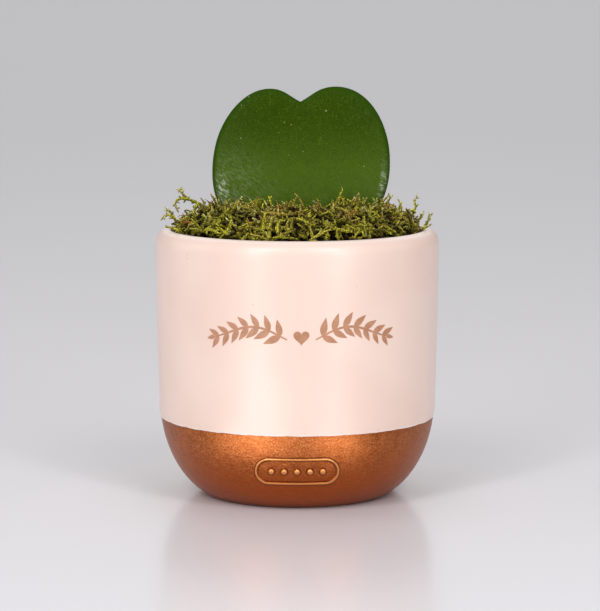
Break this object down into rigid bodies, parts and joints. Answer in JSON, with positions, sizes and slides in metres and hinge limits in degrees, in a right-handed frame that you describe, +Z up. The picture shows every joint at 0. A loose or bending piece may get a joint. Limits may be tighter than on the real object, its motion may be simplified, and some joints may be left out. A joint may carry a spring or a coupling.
{
  "type": "potted heart-leaf hoya plant",
  "caption": "Single heart-shaped hoya leaf standing upright in a round glazed pot with a metallic dipped base, its soil dressed with moss.",
  "frame": {"origin": "on the pot's axis, on the surface that the pot's foot ring stands on", "axes": "+Z up along the pot's axis, -Y out of the face of the leaf and the raised oval on the pot, +X to the right seen from that side"},
  "size_m": [0.095, 0.095, 0.1368],
  "materials": {
    "pot_glaze": "satin",
    "soil": "matte",
    "moss": "matte",
    "leaf": "satin"
  },
  "bodies": {
    "root": {"pot": "pot_glaze", "soil": "soil", "moss": "moss", "hoya_leaf": "leaf"}
  },
  "joints": []
}
